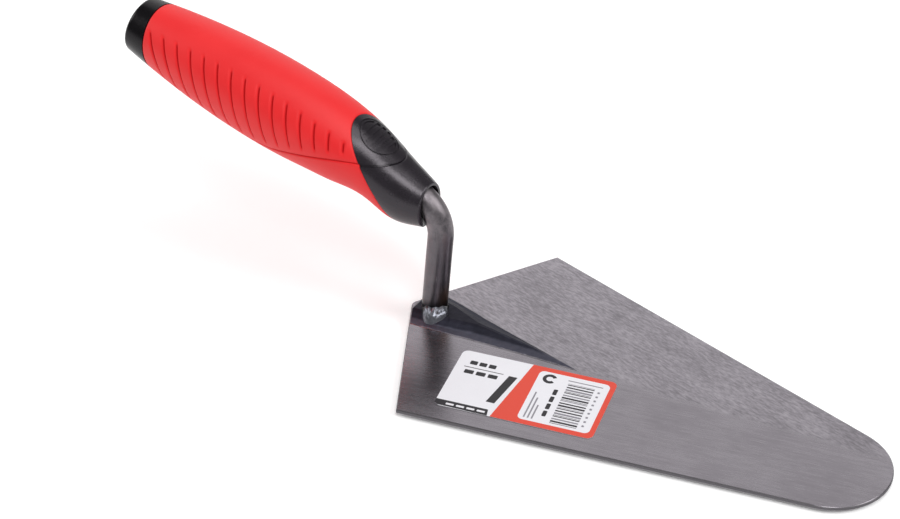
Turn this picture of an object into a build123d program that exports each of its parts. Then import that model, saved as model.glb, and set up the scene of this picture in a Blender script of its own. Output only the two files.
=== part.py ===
from build123d import *
import math
import os

# Brick trowel, in millimetres. X runs from the handle to the toe of the blade, Z is up, and the
# trowel mirrors across the X-Z plane, apart from its label, its weld bead and its slightly uneven
# rib. Z = 0 is the underside of the blade, and the origin is the point of that underside that the
# axis of the neck meets.

# Blade plan
BLADE_LENGTH = 200.0        # heel point to toe
HEEL_X = -10.0              # the heel point, behind the axis of the neck
SHOULDER_X = 21.3           # the widest place of the blade
SHOULDER_Y = 57.7           # half of the blade's width there
TOE_RADIUS = 23.2
HEEL_ROUNDING = 3.0

# Blade thickness: two ground facets meet on the centre line
HEEL_THICKNESS = 2.2
TOE_THICKNESS = 1.4
SHOULDER_THICKNESS = 1.5
EDGE_CHAMFER = 0.3

# Forged rib on the blade, from the heel to a point on the centre line
RIB_ROOT_Z = 1.0            # the rib starts inside the plate
RIB_FOOT_Z = 1.88           # where its flanks leave the ground facets
FLANK_BEND = (0.42, 0.30)   # bend in each flank: shares of its width and of its height
# Rib sections: X, -Y foot, +Y foot, -Y and +Y edges of the flat crest (all as Y), then the crest's Z.
# The forging is a little uneven, and its tip lies off the centre line.
RIB_SECTIONS = [
    (-12.0, -14.1, 13.7, -6.0, 6.0, 4.8),
    (7.0, -11.2, 9.8, -4.4, 3.8, 4.8),
    (20.0, -9.2, 7.1, -1.0, 0.3, 4.3),
    (45.0, -5.4, 1.95, -0.9, -0.3, 3.1),
    (65.3, -2.7, -1.9, -2.4, -2.2, 1.95),
]
HEEL_INSET = 0.4            # from the heel point forwards to the rib's sides
HEEL_DRAFT = 8.0            # lean of the rib's sides along the heel edges, from upright
HEEL_SLOPE = 43.0           # lean of the rib's rear end, from upright
HEEL_SLOPE_X = -8.0         # where that end meets the plate

# Neck and tang: one bent round bar
NECK_DIAMETER = 10.0
NECK_LEAN = 5.0             # degrees from upright, towards the toe
NECK_FOOT_Z = 2.0           # the bar starts inside the rib
NECK_CORNER = 51.5          # along the neck axis, from the origin to where the tang's axis crosses it
BEND_RADIUS = 15.8
TANG_RISE = 15.0            # degrees above the blade's plane, rearwards
TANG_LENGTH = 88.0          # from the same corner
TANG_CHAMFER = 1.0

# Weld bead round the foot of the neck
WELD_HALF_LENGTH = 7.8
WELD_HALF_WIDTH = 8.4
WELD_TOP_RADIUS = 5.6
WELD_FOOT_Z = 2.4
WELD_TOP_Z = 7.8
WELD_FORWARD = 2.4          # the bead is thicker on the toe's side
WELD_ASIDE = -1.2           # and on the -Y side

# Handle
NOSE_X = -1.5               # upright front face of the nose
GRIP_AXIS_Z = 56.6          # height of the grip's axis over NOSE_X
GRIP_RISE = 12.9            # degrees above the blade's plane, rearwards
HANDLE_LENGTH = 138.0       # along the grip's axis, from over NOSE_X to the butt
BUTT_FILLET = 1.8
CAP_X = -125.7              # upright joint between soft grip and butt cap
SLEEVE_WALL = 3.0           # thickness of the soft grip
NOSE_JOINT_TOP = (-36.0, 82.2)      # X, Z: slanting joint between nose and soft grip
NOSE_JOINT_FOOT = (-11.6, 40.3)
NOSE_JOINT_BULGE = 1.4
NOSE_RIM_FILLET = 0.8
MOUTH_CLEARANCE = 1.2       # round the bar where it enters the nose
MOUTH_DEPTH = 2.0
THUMB_PAD_CENTRE = (-24.0, 73.0)    # X, Z: panel on the sloping top of the nose
THUMB_PAD_SLOPE = 33.0              # lean of the panel's normal towards the toe
THUMB_PAD_SIZE = (15.0, 12.4)       # along the handle, across it
THUMB_PAD_BORDER = 1.3              # from the panel to the groove round it
THUMB_PAD_DEPTH = 0.45
THUMB_RIB_PITCH = 2.5
THUMB_RIB_WIDTH = 1.0
SIDE_GROOVE = [(-34.0, 65.3), (-34.0, 66.9), (-12.0, 66.6), (-12.0, 66.3)]  # X, Z: tapers to the front
SIDE_GROOVE_DEPTH = 0.5
PLUG_RADIUS = 4.5           # of the butt cap, inside the core
PLUG_LENGTH = 12.0
PLUG_OVERLAP = 1.0          # of the pin with the solid part of the cap

# Front of the handle along the grip's axis: station, height above the axis, depth below it, half width
FRONT_SECTIONS = [
    (-6.0, 1.2, 13.4, 6.4),
    (0.0, 2.6, 16.0, 8.2),
    (5.0, 4.2, 17.6, 9.8),
    (12.0, 6.5, 17.9, 11.2),
    (20.0, 9.6, 15.3, 12.3),
    (28.0, 12.6, 14.4, 13.5),
    (36.0, 14.5, 15.3, 14.9),
]
# Round rest of the handle: station, radius
GRIP_RADII = [
    (46.0, 16.05),
    (60.0, 17.05),
    (76.0, 17.3),
    (96.0, 16.45),
    (112.0, 14.95),
    (124.0, 13.4),
    (HANDLE_LENGTH, 11.2),
]

# Paper label on the facet at the -Y side, square with the blade's side edge
LABEL_SIZE = (60.5, 34.1)
LABEL_CENTRE = (56.6, -24.2)        # X, Y
LABEL_CORNER = 2.5
LABEL_THICKNESS = 0.2

BIG = 400.0


def side_edge():
    """Where the straight side of the blade touches the toe's arc, and its angle to the X axis."""
    toe_x = HEEL_X + BLADE_LENGTH - TOE_RADIUS
    run = toe_x - SHOULDER_X
    distance = math.hypot(run, SHOULDER_Y)
    angle = math.atan2(SHOULDER_Y, run) - math.asin(TOE_RADIUS / distance)
    touch = (toe_x + TOE_RADIUS * math.sin(angle), TOE_RADIUS * math.cos(angle))
    return touch, math.degrees(angle)


def blade_plan():
    """Flat outline of the blade."""
    (touch_x, touch_y), _ = side_edge()
    far = Polyline((touch_x, touch_y), (SHOULDER_X, SHOULDER_Y), (HEEL_X, 0))
    near = Polyline((HEEL_X, 0), (SHOULDER_X, -SHOULDER_Y), (touch_x, -touch_y))
    toe = ThreePointArc((touch_x, -touch_y), (HEEL_X + BLADE_LENGTH, 0), (touch_x, touch_y))
    plan = make_face(far + near + toe)
    heel = plan.vertices().sort_by(Axis.X)[0]
    return fillet(heel, HEEL_ROUNDING)


def facet_plane(side):
    """Plane of one ground facet. Its X direction runs along the blade's side edge on that side."""
    slope_x = (HEEL_THICKNESS - TOE_THICKNESS) / BLADE_LENGTH
    crease_at_shoulder = HEEL_THICKNESS - slope_x * (SHOULDER_X - HEEL_X)
    slope_y = (crease_at_shoulder - SHOULDER_THICKNESS) / SHOULDER_Y
    normal = Vector(slope_x, side * slope_y, 1).normalized()
    _, taper = side_edge()
    along = Vector(math.cos(math.radians(taper)), -side * math.sin(math.radians(taper)), 0)
    along = (along - normal * along.dot(normal)).normalized()
    return Plane(origin=(HEEL_X, 0, HEEL_THICKNESS), x_dir=along, z_dir=normal)


def above(plane):
    """A block that fills the space on the positive side of a plane."""
    return plane * Pos(0, 0, BIG / 2) * Box(BIG, BIG, BIG)


def flank(foot, crest, top):
    """Points up one side of the rib, from inside the plate to the crest."""
    across, up = FLANK_BEND
    bend = (foot + across * (crest - foot), RIB_FOOT_Z + up * (top - RIB_FOOT_Z))
    return [(foot, RIB_ROOT_Z), (foot, RIB_FOOT_Z), bend, (crest, top)]


def rib_section(x, foot_minus, foot_plus, crest_minus, crest_plus, top):
    """Section of the rib across X: a flat crest and flanks that sweep out to the plate."""
    points = flank(foot_minus, crest_minus, top) + flank(foot_plus, crest_plus, top)[::-1]
    across = Plane(origin=(x, 0, 0), x_dir=(0, 1, 0), z_dir=(1, 0, 0))
    return across * make_face(Polyline(*points, close=True))


def heel_space(x, z, turn, lean):
    """Everything behind an upright plane through (x, 0, z), turned about Z and leaning forwards."""
    facing = Rot(0, 0, 180 - turn) * Rot(0, 90 - lean, 0)
    return Pos(x, 0, z) * facing * Pos(0, 0, BIG / 2) * Box(BIG, BIG, BIG)


def rib():
    """The thick unground part of the forging."""
    body = loft([rib_section(*section) for section in RIB_SECTIONS], ruled=True)
    heel_angle = math.degrees(math.atan2(SHOULDER_Y, SHOULDER_X - HEEL_X))
    for side in (1, -1):
        body -= heel_space(HEEL_X + HEEL_INSET, SHOULDER_THICKNESS, side * (90 - heel_angle), HEEL_DRAFT)
    return body - heel_space(HEEL_SLOPE_X, HEEL_THICKNESS, 0, HEEL_SLOPE)


def blade():
    """Forged and ground plate with its rib, one solid."""
    plate = extrude(blade_plan(), HEEL_THICKNESS)
    for side in (1, -1):
        plate -= above(facet_plane(side))
    upper = [edge for edge in plate.edges() if edge.bounding_box().min.Z > EDGE_CHAMFER]
    rim = [edge for edge in upper if abs(edge.center().Y) > EDGE_CHAMFER]
    plate = chamfer(rim, EDGE_CHAMFER)
    return plate + rib()


def bar_path():
    """Axis of the neck and its tang."""
    lean = math.radians(NECK_LEAN)
    rise = math.radians(TANG_RISE)
    corner = (NECK_CORNER * math.sin(lean), NECK_CORNER * math.cos(lean))
    start = (NECK_FOOT_Z * math.tan(lean), NECK_FOOT_Z)
    end = (corner[0] - TANG_LENGTH * math.cos(rise), corner[1] + TANG_LENGTH * math.sin(rise))
    return Plane.XZ * FilletPolyline(start, corner, end, radius=BEND_RADIUS)


def swept_bar(diameter):
    """Round bar along the axis of the neck and its tang."""
    path = bar_path()
    return sweep(Plane(origin=path @ 0, z_dir=path % 0) * Circle(diameter / 2), path=path)


def neck(blade_solid):
    """Bent bar that stands on the rib."""
    bar = swept_bar(NECK_DIAMETER) - blade_solid
    tip = bar.faces().filter_by(GeomType.PLANE).sort_by(Axis.X)[0]
    return chamfer(tip.edges(), TANG_CHAMFER)


def neck_weld(blade_solid, neck_solid):
    """Bead round the foot of the neck."""
    lean = math.tan(math.radians(NECK_LEAN))
    foot = Ellipse(WELD_HALF_LENGTH, WELD_HALF_WIDTH)
    foot = Pos(WELD_FORWARD + WELD_FOOT_Z * lean, WELD_ASIDE, WELD_FOOT_Z) * foot
    top = Pos(WELD_TOP_Z * lean, 0, WELD_TOP_Z) * Circle(WELD_TOP_RADIUS)
    return loft([foot, top]) - blade_solid - neck_solid


def grip_plane(station):
    """Plane across the grip's axis: local X is -Y, local Y is up, and it faces the butt."""
    rise = math.radians(GRIP_RISE)
    along = Vector(-math.cos(rise), 0, math.sin(rise))
    return Plane(origin=Vector(NOSE_X, 0, GRIP_AXIS_Z) + along * station, x_dir=(0, -1, 0), z_dir=along)


def handle_body(inset):
    """The handle's outer form, or the same form drawn in by a wall."""
    rows = FRONT_SECTIONS + [(station, radius, radius, radius) for station, radius in GRIP_RADII]
    sections = [
        grip_plane(station) * Pos(0, (top - foot) / 2) * Ellipse(half - inset, (top + foot) / 2 - inset)
        for station, top, foot, half in rows
    ]
    body = loft(sections)
    return body - Pos(NOSE_X + BIG / 2, 0, 0) * Box(BIG, BIG, BIG)


def nose_space():
    """Everything in front of the slanting joint between nose and soft grip."""
    joint = SagittaArc(NOSE_JOINT_FOOT, NOSE_JOINT_TOP, -NOSE_JOINT_BULGE)
    above_joint = (BIG / 4, NOSE_JOINT_TOP[1])
    below_joint = (NOSE_JOINT_FOOT[0], 0)
    rest = Polyline(NOSE_JOINT_TOP, above_joint, (BIG / 4, 0), below_joint, NOSE_JOINT_FOOT)
    return extrude(Plane.XZ * make_face(joint + rest), BIG / 4, both=True)


def cap_space():
    """Everything behind the upright joint between soft grip and butt cap."""
    return Pos(CAP_X - BIG / 2, 0, 0) * Box(BIG, BIG, BIG)


def plug():
    """Pin of the butt cap, along the grip's axis."""
    station = (NOSE_X - CAP_X) / math.cos(math.radians(GRIP_RISE))
    start = grip_plane(station - PLUG_LENGTH)
    return extrude(start * Circle(PLUG_RADIUS), PLUG_LENGTH + 2 * PLUG_OVERLAP)


def thumb_pad_cut():
    """Sunk panel with cross ribs and a groove round it, as a column through the top of the nose."""
    length, width = THUMB_PAD_SIZE
    panel = Ellipse(length / 2, width / 2)
    ribs = [Pos(k * THUMB_RIB_PITCH, 0) * Rectangle(THUMB_RIB_WIDTH, width) for k in range(-2, 3)]
    border = Ellipse(length / 2 + THUMB_PAD_BORDER, width / 2 + THUMB_PAD_BORDER)
    border -= Ellipse(length / 2 + THUMB_PAD_BORDER / 2, width / 2 + THUMB_PAD_BORDER / 2)
    lean = math.radians(THUMB_PAD_SLOPE)
    plane = Plane(
        origin=(THUMB_PAD_CENTRE[0], 0, THUMB_PAD_CENTRE[1]),
        x_dir=(math.cos(lean), 0, -math.sin(lean)),
        z_dir=(math.sin(lean), 0, math.cos(lean)),
    )
    return extrude(plane * (panel - ribs + border), BIG / 40, both=True)


def side_groove_cut():
    """Groove along both sides of the nose, through its whole width."""
    return extrude(Plane.XZ * make_face(Polyline(*SIDE_GROOVE, close=True)), BIG / 10, both=True)


def nose(outer):
    """The visible front of the handle's hard moulding."""
    front = outer & nose_space()
    rim = front.faces().sort_by(Axis.X)[-1]
    front = fillet(rim.edges(), NOSE_RIM_FILLET)
    front -= thumb_pad_cut() & (outer - handle_body(THUMB_PAD_DEPTH))
    return front - (side_groove_cut() & (outer - handle_body(SIDE_GROOVE_DEPTH)))


def handle_core(outer, inner, neck_solid):
    """Hard moulding: the nose, and the core inside the soft grip that holds the tang."""
    mouth = swept_bar(NECK_DIAMETER + 2 * MOUTH_CLEARANCE)
    mouth &= Pos(NOSE_X - MOUTH_DEPTH + BIG / 2, 0, 0) * Box(BIG, BIG, BIG)
    core = nose(outer) + (inner - cap_space())
    return core - plug() - mouth - neck_solid


def soft_grip(outer, inner):
    """Rubber sleeve moulded over the core."""
    return outer - nose_space() - cap_space() - inner


def butt_cap(outer):
    """End cap with the pin that holds it in the core."""
    cap = outer & cap_space()
    end = cap.faces().filter_by(GeomType.PLANE).sort_by(Axis.X)[0]
    return fillet(end.edges(), BUTT_FILLET) + plug()


def product_label():
    """Rounded paper rectangle, flat on the near facet."""
    facet = facet_plane(-1)
    local = facet.to_local_coords(Vector(LABEL_CENTRE[0], LABEL_CENTRE[1], HEEL_THICKNESS))
    sheet = RectangleRounded(LABEL_SIZE[0], LABEL_SIZE[1], LABEL_CORNER)
    return extrude(facet * Pos(local.X, local.Y) * sheet, LABEL_THICKNESS)


def build():
    """Every piece of the trowel, by name."""
    blade_solid = blade()
    neck_solid = neck(blade_solid)
    outer = handle_body(0)
    inner = handle_body(SLEEVE_WALL)
    return {
        "blade": blade_solid,
        "neck": neck_solid,
        "neck_weld": neck_weld(blade_solid, neck_solid),
        "handle_core": handle_core(outer, inner, neck_solid),
        "soft_grip": soft_grip(outer, inner),
        "butt_cap": butt_cap(outer),
        "product_label": product_label(),
    }


os.makedirs("parts", exist_ok=True)
for name, solid in build().items():
    export_step(solid, f"parts/{name}.step")
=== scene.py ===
import math

import bmesh
import bpy
import numpy as np
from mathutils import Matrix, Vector, noise
from mathutils.bvhtree import BVHTree


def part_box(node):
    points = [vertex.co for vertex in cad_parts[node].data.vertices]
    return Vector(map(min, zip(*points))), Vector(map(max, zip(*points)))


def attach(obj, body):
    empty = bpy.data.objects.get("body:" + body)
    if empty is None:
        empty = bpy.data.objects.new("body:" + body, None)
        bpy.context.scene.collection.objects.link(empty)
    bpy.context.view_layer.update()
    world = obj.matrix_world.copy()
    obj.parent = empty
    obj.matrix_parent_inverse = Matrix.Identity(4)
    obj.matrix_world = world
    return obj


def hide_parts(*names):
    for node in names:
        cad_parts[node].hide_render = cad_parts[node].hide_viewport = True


# A brick trowel: a ground steel blade with a dark forged rib, a bent round neck welded on, a black
# nose and butt cap, and a grooved red rubber grip. The blade, neck, nose and butt cap are the CAD
# nodes with finished materials. The grip, the weld bead and the label are built here.

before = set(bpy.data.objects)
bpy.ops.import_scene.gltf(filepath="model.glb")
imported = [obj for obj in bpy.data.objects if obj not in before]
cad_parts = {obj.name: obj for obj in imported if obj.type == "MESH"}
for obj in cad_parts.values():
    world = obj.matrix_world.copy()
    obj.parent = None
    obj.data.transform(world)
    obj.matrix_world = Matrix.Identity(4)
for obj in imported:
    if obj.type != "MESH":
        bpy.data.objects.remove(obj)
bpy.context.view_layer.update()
MM = 0.001

# Camera: azimuth from -Y round to +X and elevation in degrees, metres, lens in millimetres
VIEW_AZIMUTH = 32.88
VIEW_ELEVATION = 35.17
VIEW_DISTANCE = 0.9154
LENS = 91.8
SENSOR_WIDTH = 36
AIM = Vector((-0.01375, 0.03285, 0.0015))

# Softboxes: azimuth, elevation, distance and size in metres, watts
SOFTBOXES = {
    "backdrop_softbox": (213, 30, 1.9, 1.7, 8.5),
    "top_softbox": (60, 82, 2.2, 1.2, 13),
    "right_softbox": (105, 38, 2.2, 1.0, 18),
    "left_softbox": (-75, 30, 1.3, 0.5, 4),
    "front_softbox": (42, 54, 2.2, 0.8, 16),
}
SKY_STRENGTH = 0.22
FLOOR_HALF = 4.0
FLOOR_DROP = 1.6 * MM       # the blade stands this far over the floor, for a narrow shadow

# Axis of the grip: a point on it over the nose's front face, and its rise to the rear
GRIP_START = Vector((-1.5, 0, 56.6)) * MM
GRIP_RISE = math.radians(12.9)
GRIP_ALONG = Vector((-math.cos(GRIP_RISE), 0, math.sin(GRIP_RISE)))
GRIP_UP = Vector((math.sin(GRIP_RISE), 0, math.cos(GRIP_RISE)))

# Rubber grip, in millimetres. A station is a distance along the axis from that point.
GRIP_COLUMNS = 400
GRIP_ROWS = 340
GRIP_MIDDLE = 80.0          # a station inside the sleeve all round
GRIP_FRONT = 0.0            # stations past its two ends
GRIP_REAR = 138.0
GRIP_WALL = 2.6
GRIP_EDGE = 0.9             # rounding of its two ends
GRIP_EDGE_DROP = 0.75
GRIP_INSET = 0.1            # the rings at its ends take their radii this far in
INNER_STEP = 20             # one ring inside the sleeve for so many outside
SMOOTHING = 6               # passes over the radii of the CAD mesh

# Finger grooves, the same on both sides. Number 0 is the rear one.
GROOVES = 15
GROOVE_FIRST = 126.5        # station of the rear groove's upper end
GROOVE_PITCH = 6.6
GROOVE_DEPTH = 0.50
GROOVE_REAR_WIDTH = 1.45    # of the gentle flank, towards the butt
GROOVE_FRONT_WIDTH = 0.65   # of the steep flank, towards the toe
GROOVE_NARROWING = 0.45     # share of the width that is lost on the way down
GROOVE_POWER = 1.3          # over 1: its flanks steepen towards the bottom
GROOVE_FADE = (1.2, 2.5)    # how far the upper and the lower end take to fade out
GROOVE_GAP = 2.0            # from its lower end to the seam
GROOVE_PEAK = 77            # station where the upper ends are highest
GROOVE_PEAK_TILT = 50.7     # degrees over the level of the axis there
GROOVE_PEAK_FALL = 0.0048   # degrees lower per square millimetre from there

# A groove's line: station = its upper end - slope * down + bend * down ** 2, where down is the drop
# from that end. Each next groove has a little less slope and bend.
GROOVE_SLOPE = 0.87
GROOVE_SLOPE_STEP = 0.03
GROOVE_BEND = 0.013
GROOVE_BEND_STEP = 0.0009

# Seam along each side of the sleeve: stations and degrees over the level of the axis
SEAM_ROUTE = [(24, 23), (36.7, 6), (47.4, -9), (61.9, -30), (68, -35.5), (90, -52), (118, -66)]
SEAM_DEPTH = 0.45
SEAM_HALF_WIDTH = 0.6
SEAM_END = 112.0
SEAM_FADE = 12.0

# The finish of the near facet laps over the centre line. Its border is Y = start + slope * X,
# with the start in millimetres.
GRIND_START = -10.7
GRIND_SLOPE = 0.13

# Neck: its lean from upright at the foot, and its radius in millimetres
NECK_LEAN = math.radians(5)
NECK_RADIUS = 5.0

# Weld bead, in millimetres
BEAD_COLUMNS = 220
BEAD_ROWS = 30
BEAD_SINK = 0.5             # how far its borders reach into the bar and the blade
BEAD_SIDE = Vector((0.55, -0.83, 0))    # the bead is fullest here, on the near side and the toe's
BEAD_LUMP = 0.44            # coarse and fine lumps, as shares of its swell
BEAD_FINE_LUMP = 0.1375

# Label print, in millimetres from the label's centre: u runs towards the toe, v to the centre line
INK = 0.02                  # thickness of one layer
LABEL_CORNER = 2.5
CORNER_POINTS = 9
RING_POINTS = 25
RED_EDGE = -8.5             # left edge of the red field, at the foot
FOOT_TOP = -13.6            # top of the black band at the foot of the white part


def smooth(low, high, value):
    share = np.clip((value - low) / (high - low), 0, 1)
    return share * share * (3 - 2 * share)


def mix(low, high, share):
    return low + (high - low) * share


# Materials ------------------------------------------------------------------------------------


class Paint:
    """A Principled material, with short ways to add nodes to it."""

    def __init__(self, name, **constants):
        self.material = bpy.data.materials.new(name)
        self.material.use_nodes = True
        self.tree = self.material.node_tree
        self.shader = self.tree.nodes["Principled BSDF"]
        self.place = self.add("ShaderNodeTexCoord").outputs["Object"]
        for socket, value in constants.items():
            self.shader.inputs[socket.replace("_", " ")].default_value = value

    def put(self, socket, value):
        if isinstance(value, bpy.types.NodeSocket):
            self.tree.links.new(value, socket)
        else:
            socket.default_value = value

    def add(self, kind, inputs=(), **settings):
        node = self.tree.nodes.new(kind)
        for key, value in settings.items():
            setattr(node, key, value)
        for key, value in inputs:
            self.put(node.inputs[key], value)
        return node

    def calculate(self, operation, *values):
        return self.add("ShaderNodeMath", enumerate(values), operation=operation).outputs[0]

    def plus(self, first, second):
        return self.calculate("ADD", first, second)

    def times(self, value, factor, plus=0.0):
        """value * factor + plus"""
        return self.calculate("MULTIPLY_ADD", value, factor, plus)

    def split(self):
        return self.add("ShaderNodeSeparateXYZ", [(0, self.place)]).outputs

    def join(self, *values):
        return self.add("ShaderNodeCombineXYZ", enumerate(values)).outputs[0]

    def attribute(self, name):
        return self.add("ShaderNodeAttribute", attribute_name=name).outputs["Fac"]

    def grain(self, scale, detail=3.0, roughness=0.55, place=None):
        inputs = {"Scale": scale, "Detail": detail, "Roughness": roughness, "Vector": place or self.place}
        return self.add("ShaderNodeTexNoise", inputs.items()).outputs[0]

    def step(self, value, low, high):
        """Smooth step: 0 at low, 1 at high, which may be the lesser of the two."""
        inputs = enumerate((value, low, high, 0.0, 1.0))
        return self.add("ShaderNodeMapRange", inputs, interpolation_type="SMOOTHSTEP").outputs[0]

    def blend(self, factor, first, second):
        """Mixes two colours, which are the Mix node's inputs 6 and 7, into its output 2."""
        inputs = [(0, factor), (6, first), (7, second)]
        return self.add("ShaderNodeMix", inputs, data_type="RGBA").outputs[2]

    def bump(self, height, distance, strength, normal=None):
        inputs = [("Height", height), ("Distance", distance), ("Strength", strength)]
        if normal:
            inputs.append(("Normal", normal))
        return self.add("ShaderNodeBump", inputs).outputs[0]

    def finish(self, colour, rough=None, normal=None, tangent=None):
        sockets = {"Base Color": colour, "Roughness": rough, "Normal": normal, "Tangent": tangent}
        for socket, value in sockets.items():
            if value is not None:
                self.put(self.shader.inputs[socket], value)
        return self.material


def toned(colour, factor):
    return tuple(channel * factor for channel in colour[:3]) + (1,)


def facet_of_blade():
    """Normal of the -Y facet of the blade and its height at the origin, from the CAD mesh."""
    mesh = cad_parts["blade"].data
    facets = [p for p in mesh.polygons if p.normal.z > 0.99 and p.center.y < -0.02]
    widest = max(facets, key=lambda p: p.area)
    return widest.normal.copy(), widest.center.dot(widest.normal)


def blade_edge_taper():
    """Angle between the side of the blade and the X axis, from the CAD mesh."""
    points = np.array([v.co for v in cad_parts["blade"].data.vertices])
    shoulder = points[points[:, 1].argmax()]
    ahead = points[(points[:, 0] > shoulder[0] + 0.1) & (points[:, 1] > 0)]
    slopes = (shoulder[1] - ahead[:, 1]) / (ahead[:, 0] - shoulder[0])
    return math.atan(slopes.min())


def height_over_facets(paint, x, y, z):
    """Height over the two ground facets, which are each other's mirror image."""
    normal, rise = facet_of_blade()
    height = paint.times(z, normal.z, -rise)
    height = paint.times(x, normal.x, height)
    return paint.times(paint.calculate("ABSOLUTE", y), -normal.y, height)


def far_from_border(paint, x, y):
    """1 past the uneven border between the two directions of grinding, 0 on the near side of it."""
    border = paint.times(x, -GRIND_SLOPE, -GRIND_START * MM)
    wander = paint.times(paint.grain(180.0), 0.004, -0.002)
    return paint.step(paint.plus(paint.plus(y, border), wander), -0.0006, 0.0006)


def grinding(paint, x, y, far, taper):
    """Fine lines along each side of the blade, and those lines with broad bands and clouds."""
    across = paint.times(y, paint.times(far, 2.0, -1.0))
    along = paint.times(across, -math.sin(taper), paint.times(x, math.cos(taper)))
    over = paint.times(across, math.cos(taper), paint.times(x, math.sin(taper)))
    stretch = paint.times(far, 150.0, 150.0)
    pitch = paint.times(far, -1600.0, 2700.0)
    lines = paint.join(paint.times(along, stretch), paint.times(over, pitch), far)
    fine = paint.grain(1.0, 4.0, 0.7, lines)
    bands = paint.grain(0.22, 2.0, 0.5, lines)
    cloud = paint.grain(45.0)
    marks = paint.times(fine, paint.times(far, 0.15, 0.55))
    marks = paint.times(bands, paint.times(far, -0.05, 0.25), marks)
    marks = paint.times(cloud, paint.times(far, -0.14, 0.35), marks)
    return fine, marks


def rib_scale_and_painted_reflections(paint, y, height, scale):
    """Forging scale grain under painted reflections: lighter low on the near flank, dark on the far
    flank, higher up and on the crest.
    """
    near = paint.blend(scale, (0.064, 0.063, 0.086, 1), (0.145, 0.144, 0.185, 1))
    far = paint.blend(scale, (0.016, 0.016, 0.026, 1), (0.058, 0.058, 0.080, 1))
    lower = paint.blend(paint.step(y, -0.0015, 0.0005), near, far)
    upper = paint.blend(scale, (0.018, 0.018, 0.028, 1), (0.060, 0.060, 0.082, 1))
    painted_flank_reflections = paint.blend(paint.step(height, 0.0007, 0.00115), lower, upper)
    crest = paint.step(height, 0.0016, 0.0022)
    return paint.blend(paint.times(crest, 0.6), painted_flank_reflections, (0.022, 0.020, 0.028, 1))


def blade_steel():
    """Ground facets, with grinding lines along each side of the blade, and the unground rib."""
    paint = Paint("ground_steel_with_forged_rib", Metallic=1.0, Anisotropic=0.55)
    x, y, z = paint.split()
    taper = blade_edge_taper()
    far = far_from_border(paint, x, y)
    fine, marks = grinding(paint, x, y, far, taper)
    # Painted reflection: the far half's tones are lighter than the near half's, on top of the real
    # grinding in two directions.
    near_dark, near_light = (0.215, 0.198, 0.218, 1), (0.325, 0.302, 0.330, 1)
    far_dark, far_light = (0.205, 0.190, 0.209, 1), (0.430, 0.400, 0.437, 1)
    near_tone = paint.blend(paint.step(marks, 0.36, 0.84), near_dark, near_light)
    far_tone_with_painted_reflection = paint.blend(paint.step(marks, 0.38, 0.78), far_dark, far_light)
    ground = paint.blend(far, near_tone, far_tone_with_painted_reflection)

    height = height_over_facets(paint, x, y, z)
    # Painted shade: the edge face below the facets gets a dark colour, for the shade along the blade's
    # edge.
    below_facets = paint.step(height, -0.00003, -0.00016)
    side = paint.times(below_facets, paint.step(z, 0.00003, 0.00012))
    ground = paint.blend(side, ground, (0.125, 0.118, 0.128, 1))
    ragged = paint.times(paint.grain(420.0, 4.0, 0.7), 1.6, 0.2)
    forged = paint.step(paint.times(height, ragged), 0.00007, 0.00018)
    uneven_height = paint.times(height, paint.times(ragged, 0.25, 0.75))
    scale = paint.grain(350.0, 5.0, 0.65)
    colour = paint.blend(forged, ground, rib_scale_and_painted_reflections(paint, y, uneven_height, scale))

    rough = paint.times(marks, 0.12, 0.20)
    rough = paint.times(far, 0.07, rough)
    rough = paint.times(forged, 0.12, rough)
    rough = paint.times(side, 0.22, rough)
    relief = paint.bump(fine, 0.00004, 0.20)
    relief = paint.bump(paint.times(scale, forged), 0.0004, 0.6, relief)
    turn = paint.times(far, 2 * math.cos(taper), -math.cos(taper))
    return paint.finish(colour, rough, relief, paint.join(math.sin(taper), turn, 0.0))


def neck_steel():
    """Dark rolled bar with mottled scale, drawn scratches, a brown heat tint low down and a painted
    highlight in patches on the bend.
    """
    paint = Paint("rolled_steel_bar", Metallic=0.92)
    x, y, z = paint.split()
    mottle = paint.grain(160.0, 5.0, 0.6)
    lines = paint.join(paint.times(x, 1600.0), paint.times(y, 1600.0), paint.times(z, 75.0))
    drawn = paint.grain(1.0, 4.0, 0.7, lines)
    base = paint.blend(mottle, (0.066, 0.060, 0.067, 1), (0.165, 0.150, 0.163, 1))
    base = paint.blend(paint.step(drawn, 0.60, 0.78), base, (0.30, 0.29, 0.30, 1))
    base = paint.blend(paint.step(drawn, 0.44, 0.28), base, (0.035, 0.034, 0.038, 1))
    heat = paint.step(paint.times(paint.grain(110.0), 0.012, z), 0.027, 0.013)
    tint = paint.blend(paint.grain(260.0), (0.10, 0.035, 0.012, 1), (0.20, 0.12, 0.07, 1))
    side = paint.step(paint.plus(x, y), -0.001, 0.005)
    base = paint.blend(paint.times(heat, side), base, tint)
    soot = paint.step(z, 0.0115, 0.0075)
    base = paint.blend(paint.times(soot, 0.8), base, (0.012, 0.012, 0.015, 1))
    bent = paint.step(z, 0.036, 0.048)
    # Painted highlight: patches of the bend are paler.
    painted_bend_highlight = paint.times(bent, paint.step(mottle, 0.3, 0.6))
    base = paint.blend(painted_bend_highlight, base, (0.235, 0.212, 0.225, 1))
    rough = paint.times(mottle, 0.20, 0.22)
    rough = paint.times(bent, 0.12, rough)
    relief = paint.bump(drawn, 0.00008, 0.5)
    relief = paint.bump(mottle, 0.0003, 0.25, relief)
    return paint.finish(base, rough, relief)


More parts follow.
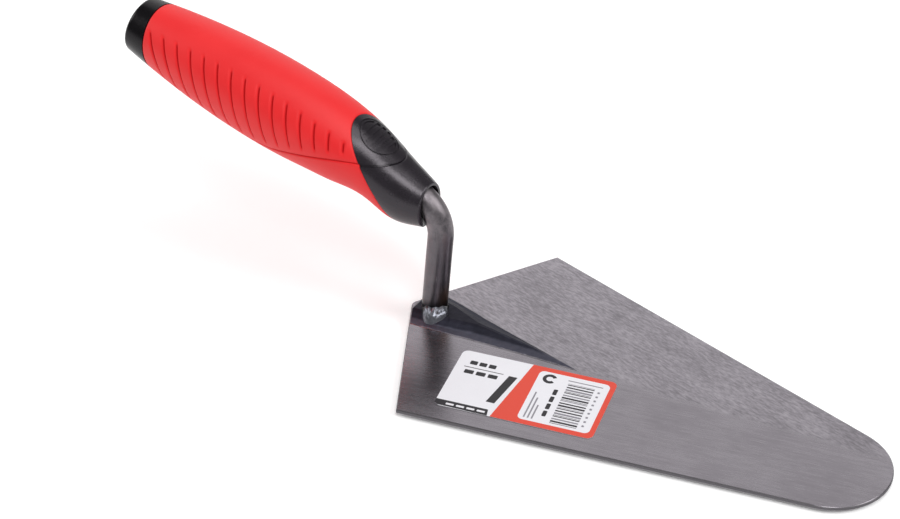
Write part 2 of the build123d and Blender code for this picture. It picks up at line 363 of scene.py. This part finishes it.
def weld_metal():
    """Bright bead with dark oxide in its hollows, and darker towards the rear."""
    paint = Paint("welded_bead", Metallic=0.95)
    x, y, _ = paint.split()
    spatter = paint.grain(600.0, 3.0, 0.6)
    hollow = paint.attribute("hollow")
    bright = paint.blend(spatter, (0.085, 0.088, 0.110, 1), (0.34, 0.35, 0.39, 1))
    dark = paint.blend(spatter, (0.012, 0.012, 0.016, 1), (0.07, 0.065, 0.07, 1))
    oxide = paint.times(paint.grain(330.0), 0.9, paint.times(hollow, 0.5))
    oxide = paint.step(oxide, 0.50, 0.78)
    rear = paint.step(paint.times(y, -1.1, x), 0.0085, 0.0055)
    colour = paint.blend(paint.calculate("MAXIMUM", oxide, rear), bright, dark)
    rough = paint.times(spatter, 0.3, 0.2)
    return paint.finish(colour, rough, paint.bump(spatter, 0.0003, 0.2))


def hard_plastic(name, shine, painted_light_level):
    """Black moulded plastic with a fine spark grain and faint handling marks.

    Shine is its specular level, and the last argument makes its black lighter or darker: painted light on
    the nose, painted shade on the cap.
    """
    paint = Paint(name, Specular_IOR_Level=shine, Specular_Tint=(1.0, 0.93, 1.0, 1))
    spark = paint.grain(3200.0, 3.0, 0.7)
    marks = paint.grain(120.0, 5.0, 0.65)
    dust = paint.step(paint.grain(1500.0, 2.0), 0.66, 0.8)
    low = toned((0.0045, 0.0036, 0.0048), painted_light_level)
    high = toned((0.0115, 0.0095, 0.0125), painted_light_level)
    colour = paint.blend(marks, low, high)
    colour = paint.blend(paint.times(dust, 0.3), colour, (0.035, 0.034, 0.037, 1))
    rough = paint.times(marks, 0.14, 0.19)
    return paint.finish(colour, rough, paint.bump(spark, 0.00006, 0.35))


def grip_rubber():
    """Red rubber with a fine stipple, and painted shade that darkens it inside its grooves and its seam.
    """
    paint = Paint("red_rubber")
    stipple = paint.grain(2600.0, 3.0, 0.6)
    cloud = paint.grain(60.0, 4.0, 0.6)
    cut = paint.attribute("cut")
    colour = paint.blend(cloud, (0.74, 0.010, 0.013, 1), (0.83, 0.020, 0.022, 1))
    colour = paint.blend(paint.step(stipple, 0.62, 0.8), colour, (0.85, 0.034, 0.034, 1))
    # Painted shade: darker red where the grooves and the seam cut in.
    colour = paint.blend(paint.step(cut, 0.35, 0.9), colour, (0.42, 0.003, 0.005, 1))
    rough = paint.times(cloud, 0.14, 0.42)
    rough = paint.times(cut, 0.35, rough)
    paint.put(paint.shader.inputs["Specular IOR Level"], paint.times(cut, -0.40, 0.42))
    relief = paint.bump(stipple, 0.00007, 0.3)
    relief = paint.bump(cloud, 0.0012, 0.10, relief)
    return paint.finish(colour, rough, relief)


def print_on_paper(name, ink):
    """Printed, lightly varnished paper in one ink."""
    paint = Paint(name, Specular_IOR_Level=0.3)
    fibre = paint.grain(2400.0, 4.0, 0.65)
    cloud = paint.grain(90.0)
    uneven = paint.times(fibre, 0.5, paint.times(cloud, 0.4))
    colour = paint.blend(uneven, toned(ink, 0.86), ink)
    rough = paint.times(cloud, 0.12, 0.42)
    return paint.finish(colour, rough, paint.bump(fibre, 0.00003, 0.25))


def floor_finish():
    """Near-white floor with a weak glow."""
    paint = Paint("pale_floor", Roughness=0.75, Emission_Color=(1, 1, 1, 1), Emission_Strength=0.13)
    cloud = paint.grain(3.0)
    return paint.finish(paint.blend(cloud, (0.95, 0.95, 0.95, 1), (0.97, 0.97, 0.97, 1)))


# Pieces ---------------------------------------------------------------------------------------


def new_piece(name, mesh, materials, body, slot, *nodes):
    for polygon in mesh.polygons:
        polygon.use_smooth = True
    for material in materials:
        mesh.materials.append(material)
    piece = bpy.data.objects.new(name, mesh)
    bpy.context.scene.collection.objects.link(piece)
    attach(piece, body)
    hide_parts(*nodes)


def tree_of(node):
    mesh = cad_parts[node].data
    return BVHTree.FromPolygons([v.co for v in mesh.vertices], [p.vertices for p in mesh.polygons])


def ring_grid(name, rings):
    """Closed mesh from rings of points, joined in order, the last to the first."""
    count, columns = rings.shape[:2]
    index = np.arange(count * columns).reshape(count, columns)
    here, ahead = index, np.roll(index, -1, 0)
    faces = np.stack([here, np.roll(here, -1, 1), np.roll(ahead, -1, 1), ahead], -1).reshape(-1, 4)
    mesh = bpy.data.meshes.new(name)
    mesh.from_pydata(rings.reshape(-1, 3).tolist(), [], faces.tolist())
    mesh.validate()
    return mesh


def outward(angle):
    """Direction away from the grip's axis: 0 is -Y, a quarter turn is up."""
    return Vector((0, -math.cos(angle), 0)) + GRIP_UP * math.sin(angle)


class Handle:
    """The outer surface of the CAD handle, seen from the grip's axis."""

    REACH = 0.04
    HALVINGS = 16

    def __init__(self):
        self.sleeve = tree_of("soft_grip")
        self.others = [tree_of("handle_core"), tree_of("butt_cap")]

    def cast(self, tree, station, angle):
        away = outward(angle)
        start = GRIP_START + GRIP_ALONG * (station * MM) + away * self.REACH
        distance = tree.ray_cast(start, -away, self.REACH)[3]
        return -1 if distance is None else self.REACH - distance

    def radius(self, station, angle):
        return self.cast(self.sleeve, station, angle) / MM

    def is_sleeve(self, station, angle):
        here = self.cast(self.sleeve, station, angle)
        return here > max(self.cast(tree, station, angle) for tree in self.others)

    def edge(self, angle, inside, outside):
        """Station where the sleeve ends, between one inside it and one outside."""
        for _ in range(self.HALVINGS):
            middle = (inside + outside) / 2
            if self.is_sleeve(middle, angle):
                inside = middle
            else:
                outside = middle
        return inside


def grip_shape(handle):
    """Stations, angles and radii of the sleeve's outer surface, as grids of rows and columns."""
    turns = np.linspace(0, 2 * math.pi, GRIP_COLUMNS, endpoint=False)
    front = np.array([handle.edge(angle, GRIP_MIDDLE, GRIP_FRONT) for angle in turns])
    rear = np.array([handle.edge(angle, GRIP_MIDDLE, GRIP_REAR) for angle in turns])
    share = np.linspace(0, 1, GRIP_ROWS)[:, None]
    stations = front + (rear - front) * share
    angles = np.broadcast_to(turns, stations.shape)
    inset = np.clip(stations, front + GRIP_INSET, rear - GRIP_INSET)
    radii = np.array([[handle.radius(s, a) for s, a in zip(*row)] for row in zip(inset, angles)])
    for _ in range(SMOOTHING):
        radii = (np.roll(radii, 1, 1) + 2 * radii + np.roll(radii, -1, 1)) / 4
        radii[1:-1] = (radii[:-2] + 2 * radii[1:-1] + radii[2:]) / 4
    return stations, angles, radii


def groove_cut(stations, tilt, radii, seam):
    """Depth of the finger grooves. Tilt is the angle over the level of the axis, on either side."""
    height = radii * np.sin(tilt)
    middle = GRIP_COLUMNS // 2
    cut = np.zeros_like(radii)
    for number in range(GROOVES):
        top_station = GROOVE_FIRST - number * GROOVE_PITCH
        top_tilt = GROOVE_PEAK_TILT - GROOVE_PEAK_FALL * (top_station - GROOVE_PEAK) ** 2
        radius = np.interp(top_station, stations[:, middle], radii[:, middle])
        down = radius * math.sin(math.radians(top_tilt)) - height
        slope = GROOVE_SLOPE - GROOVE_SLOPE_STEP * number
        bend = GROOVE_BEND - GROOVE_BEND_STEP * number
        centre = top_station - slope * down + bend * down ** 2
        aside = (stations - centre) * math.cos(math.atan(slope))
        width = np.where(aside > 0, GROOVE_REAR_WIDTH, GROOVE_FRONT_WIDTH)
        width = width * (1 - GROOVE_NARROWING * smooth(3, 14, down))
        profile = np.clip(1 - np.abs(aside) / width, 0, 1) ** GROOVE_POWER
        above_seam = (tilt - seam) * radii - GROOVE_GAP
        fade = smooth(-0.5, GROOVE_FADE[0], down) * smooth(0, GROOVE_FADE[1], above_seam)
        cut = np.maximum(cut, profile * fade)
    return cut * GROOVE_DEPTH


def red_grip():
    """The sleeve with its grooves, the seam along each side and rounded ends."""
    stations, angles, radii = grip_shape(Handle())
    tilt = np.arcsin(np.sin(angles))
    route = np.array(SEAM_ROUTE)
    seam = np.radians(np.interp(stations, route[:, 0], route[:, 1]))
    line = np.clip(1 - np.abs(tilt - seam) * radii / SEAM_HALF_WIDTH, 0, 1)
    line = line * smooth(SEAM_END, SEAM_END - SEAM_FADE, stations) * SEAM_DEPTH
    cut = np.maximum(groove_cut(stations, tilt, radii, seam), line)
    for end in (stations[0], stations[-1]):
        near = np.clip(1 - np.abs(stations - end) / GRIP_EDGE, 0, 1)
        cut = cut * (1 - near) + GRIP_EDGE_DROP * (1 - np.sqrt(1 - near ** 2))
    away = np.array([outward(angle) for angle in angles[0]])
    axis = np.array(GRIP_START) + stations[..., None] * MM * np.array(GRIP_ALONG)
    outer = axis + away * (radii - cut)[..., None] * MM
    inner = axis[::-INNER_STEP] + away * (radii[::-INNER_STEP] - GRIP_WALL)[..., None] * MM
    mesh = ring_grid("grip_rubber_sleeve", np.concatenate([outer, inner]))
    # The depth of the cut, as a share, also sets the painted shade in the grooves and the seam.
    values = np.zeros(len(mesh.vertices))
    values[: cut.size] = (cut / GROOVE_DEPTH).ravel()
    mesh.attributes.new("cut", "FLOAT", "POINT").data.foreach_set("value", values)
    new_piece("grip_rubber_sleeve", mesh, [grip_rubber()], "root", "grip_rubber", "soft_grip")


def bead_top(aim, full, low, high):
    """Point where the bead starts, a little inside the bar, in the direction aim from its axis."""
    top = mix(low, high, mix(0.62, 1.0, full)) + noise.noise(aim * 2.3) * 0.6 * MM
    return Vector((top * math.tan(NECK_LEAN), 0, top)) + aim * (NECK_RADIUS - BEAD_SINK) * MM


def bead_foot(aim, full, low, high, blade):
    """Point where the bead ends, a little inside the blade's steel."""
    middle = (low + high) / 2
    half = (high - low) / 2
    reach = mix(0.72, 1.0, full) + 0.08 * noise.noise(aim * 2.7 + Vector((0, 0, 9)))
    foot = Vector((middle.x + aim.x * half.x * reach, middle.y + aim.y * half.y * reach, 0))
    ground = blade.ray_cast(foot + Vector((0, 0, high.z)), Vector((0, 0, -1)))[0]
    foot.z = (ground.z if ground else low.z) - BEAD_SINK * MM
    return foot


def weld_bead():
    """Lumpy bead between the neck and the rib. Full is 1 where it is fullest, 0 on the thin side."""
    low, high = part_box("neck_weld")
    blade = tree_of("blade")
    rings = []
    hollows = []
    for row in range(BEAD_ROWS):
        share = row / (BEAD_ROWS - 1)
        ring = []
        for column in range(BEAD_COLUMNS):
            turn = 2 * math.pi * column / BEAD_COLUMNS
            aim = Vector((math.cos(turn), math.sin(turn), 0))
            full = smooth(0.25, 0.9, aim.dot(BEAD_SIDE))
            top = bead_top(aim, full, low.z, high.z)
            foot = bead_foot(aim, full, low, high, blade)
            lump = noise.noise(aim * 3.1 + Vector((0, 0, share * 2.0)))
            fine = noise.noise(aim * 9.0 + Vector((5, 0, share * 6.0)))
            swell = 1.0 + BEAD_LUMP * lump + BEAD_FINE_LUMP * fine
            swell = math.sin(math.pi * share) * swell * mix(0.45, 1.0, full) * MM
            ring.append(top.lerp(foot, share) + (aim * 0.6 + Vector((0, 0, 0.8))) * swell)
            hollows.append(max(0.0, -lump - 0.3 * fine))
        rings.append(ring)
    mesh = ring_grid("weld_bead", np.array(rings))
    mesh.attributes.new("hollow", "FLOAT", "POINT").data.foreach_set("value", hollows)
    new_piece("weld_bead", mesh, [weld_metal()], "root", "weld_metal", "neck_weld")


# Label ----------------------------------------------------------------------------------------


def rectangle(u0, v0, u1, v1, radius=0.0):
    """Outline of an upright rectangle, with rounded corners where a radius is given."""
    if not radius:
        return [(u0, v0), (u1, v0), (u1, v1), (u0, v1)]
    points = []
    for number, (u, v) in enumerate([(u1, v0), (u1, v1), (u0, v1), (u0, v0)]):
        centre_u = u + (radius if u == u0 else -radius)
        centre_v = v + (radius if v == v0 else -radius)
        for point in range(CORNER_POINTS):
            turn = math.pi / 2 * (number - 1 + point / (CORNER_POINTS - 1))
            points.append((centre_u + radius * math.cos(turn), centre_v + radius * math.sin(turn)))
    return points


def prism(target, place, outline, low, high, ink):
    """Closed thin slab over an outline, with one material index."""
    bottom = [target.verts.new(place(u, v, low)) for u, v in outline]
    top = [target.verts.new(place(u, v, high)) for u, v in outline]
    faces = [target.faces.new(top), target.faces.new(bottom[::-1])]
    count = len(outline)
    for i in range(count):
        j = (i + 1) % count
        faces.append(target.faces.new((bottom[i], bottom[j], top[j], top[i])))
    for face in faces:
        face.material_index = ink


def label_place():
    """Maps millimetres on the label to the row frame, from the CAD label, and its half sizes."""
    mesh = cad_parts["product_label"].data
    points = np.array([v.co for v in mesh.vertices])
    normal = np.array(max(mesh.polygons, key=lambda p: p.area * (p.normal.z > 0)).normal)
    centre = points.mean(0)
    spread = np.linalg.eigh(np.cov((points - centre).T))[1]
    along = spread[:, 2] * np.sign(spread[0, 2])
    up = np.cross(normal, along)
    flat = (points - centre) @ np.array([along, up, normal]).T
    middle = (flat.max(0) + flat.min(0)) / 2
    centre = centre + middle @ np.array([along, up, normal])
    half = (flat.max(0) - flat.min(0)) / 2 / MM

    def place(u, v, w):
        return Vector(centre + (along * u + up * v + normal * w) * MM)

    return place, half


def ring_outline(u, v, outer, inner, start, end):
    """Outline of an open ring, from one angle to another."""
    turns = np.linspace(start, end, RING_POINTS)
    out = [(u + outer * math.cos(t), v + outer * math.sin(t)) for t in turns]
    return out + [(u + inner * math.cos(t), v + inner * math.sin(t)) for t in turns[::-1]]


def label_print(half_u, half_v):
    """Generic print: (layer, ink, outline). Bars stand in for words and figures."""
    white, red, black, pale = range(4)

    # Red field to the right of a slanting edge, and the black band at the foot of the white part
    right_corners = rectangle(RED_EDGE, -half_v, half_u, half_v, LABEL_CORNER)[: 2 * CORNER_POINTS]
    yield 1, red, [(-2.7, half_v), (RED_EDGE, -half_v), *right_corners]
    foot_corner = [(-half_u, -half_v + 1.5), (-half_u + 1.2, -half_v + 0.25)]
    yield 1, black, [*foot_corner, (-9.6, -half_v), (-10.2, FOOT_TOP), (-half_u, FOOT_TOP)]

    # Slanted bar, white panel on the red field, white stripe along its slanting edge, open ring
    yield 1, black, [(-5.9, 7.5), (-9.2, 7.5), (-12.6, -9.5), (-9.3, -9.5)]
    yield 2, white, rectangle(0.9, -14.6, 28.2, 14.7, 2.0)
    yield 2, white, [(-4.1, 8.4), (-4.9, 8.4), (-8.4, -10.4), (-7.6, -10.4)]
    yield 3, black, ring_outline(5.6, 10.9, 2.7, 1.3, 0.5, 5.6)

    # Two rows of three bars with a thin line between them, and four small bars at the foot
    for start, end, v in ((-25.5, -14.5, 10.6), (-26.0, -12.0, 5.0)):
        width = (end - start) / 3
        for number in range(3):
            left = start + number * width
            yield 1, black, rectangle(left, v - 1.1, left + 0.78 * width, v + 1.1, 0.4)
    yield 1, black, rectangle(-27.0, 7.5, -11.5, 7.85)
    for number in range(4):
        left = -26.0 + 4 * number
        yield 2, white, rectangle(left, -15.9, left + 3.1, -14.9, 0.3)

    # On the panel: three thin upright lines, and four short bars one over the other
    for number, top in enumerate((2.0, -1.0, -5.0)):
        left = 2.9 + 1.5 * number
        yield 3, pale, rectangle(left, -13.2, left + 0.6, top)
    for number in range(4):
        bottom = -10.5 + 4.3 * number
        yield 3, black, rectangle(9.0, bottom, 10.6, bottom + 3.3, 0.4)

    # On the panel: a stack of bars in a plain repeating rhythm, small marks beside it, a line over it
    v = 10.6
    for number in range(21):
        thick = 0.28 + 0.22 * ((number * 5) % 4)
        yield 3, (black if number % 3 else pale), rectangle(13.0, v - thick, 23.2, v)
        v -= thick + 0.30 + 0.18 * ((number * 3) % 4)
    for number in range(9):
        bottom = -11.6 + 2.5 * number
        yield 3, pale, rectangle(24.6, bottom, 25.5, bottom + 1.0)
    yield 3, pale, rectangle(12.4, 12.0, 25.8, 12.5)


def paper_label():
    """Printed label on the near facet, each patch of ink a thin slab on the paper."""
    place, (half_u, half_v, half_w) = label_place()
    target = bmesh.new()
    paper = rectangle(-half_u, -half_v, half_u, half_v, LABEL_CORNER)
    prism(target, place, paper, -half_w, half_w, 0)
    for layer, ink, outline in label_print(half_u, half_v):
        prism(target, place, outline, half_w - INK, half_w + INK * layer, ink)
    bmesh.ops.recalc_face_normals(target, faces=target.faces)
    mesh = bpy.data.meshes.new("label_printed")
    target.to_mesh(mesh)
    target.free()
    inks = [
        print_on_paper("label_paper_white", (0.80, 0.79, 0.83, 1)),
        print_on_paper("label_ink_red", (0.72, 0.070, 0.042, 1)),
        print_on_paper("label_ink_black", (0.028, 0.026, 0.030, 1)),
        print_on_paper("label_ink_grey", (0.26, 0.25, 0.28, 1)),
    ]
    new_piece("label_printed", mesh, inks, "root", "label_paper", "product_label")
    for polygon in mesh.polygons:
        polygon.use_smooth = False


# Studio ---------------------------------------------------------------------------------------


def direction(azimuth, elevation):
    """Unit vector to an azimuth, from -Y round to +X, and an elevation, in degrees."""
    turn = math.radians(azimuth)
    rise = math.radians(elevation)
    return Vector((math.sin(turn) * math.cos(rise), -math.cos(turn) * math.cos(rise), math.sin(rise)))


def stand(name, data, place, back):
    """Puts a camera or a light at a place, with its back to a direction."""
    thing = bpy.data.objects.new(name, data)
    thing.location = place
    thing.rotation_euler = back.to_track_quat("Z", "Y").to_euler()
    bpy.context.scene.collection.objects.link(thing)
    return thing


def camera():
    data = bpy.data.cameras.new("camera")
    data.lens = LENS
    data.sensor_width = SENSOR_WIDTH
    back = direction(VIEW_AZIMUTH, VIEW_ELEVATION)
    bpy.context.scene.camera = stand("camera", data, AIM + back * VIEW_DISTANCE, back)


def softbox(name, azimuth, elevation, distance, size, power):
    """Square area light that faces the frame's origin."""
    data = bpy.data.lights.new(name, "AREA")
    data.size = size
    data.energy = power
    back = direction(azimuth, elevation)
    stand(name, data, back * distance, back)


def light_sky():
    world = bpy.data.worlds.new("studio")
    world.use_nodes = True
    background = world.node_tree.nodes["Background"]
    background.inputs["Color"].default_value = (1, 1, 1, 1)
    background.inputs["Strength"].default_value = SKY_STRENGTH
    bpy.context.scene.world = world


def lay_floor():
    half = FLOOR_HALF
    corners = [(-half, -half, 0), (half, -half, 0), (half, half, 0), (-half, half, 0)]
    mesh = bpy.data.meshes.new("floor")
    mesh.from_pydata(corners, [], [range(4)])
    mesh.materials.append(floor_finish())
    floor = bpy.data.objects.new("floor", mesh)
    floor.location.z = -FLOOR_DROP
    bpy.context.scene.collection.objects.link(floor)


def studio():
    light_sky()
    for name, values in SOFTBOXES.items():
        softbox(name, *values)
    lay_floor()
    bpy.context.scene.view_settings.view_transform = "Standard"


def dress(node, material):
    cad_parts[node].data.materials.clear()
    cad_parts[node].data.materials.append(material)


dress("blade", blade_steel())
dress("neck", neck_steel())
# The nose's black is lightened as painted light, the cap's darkened as painted shade.
dress("handle_core", hard_plastic("nose_moulding", 0.5, 1.7))
dress("butt_cap", hard_plastic("cap_moulding", 0.2, 0.3))
red_grip()
weld_bead()
paper_label()
camera()
studio()
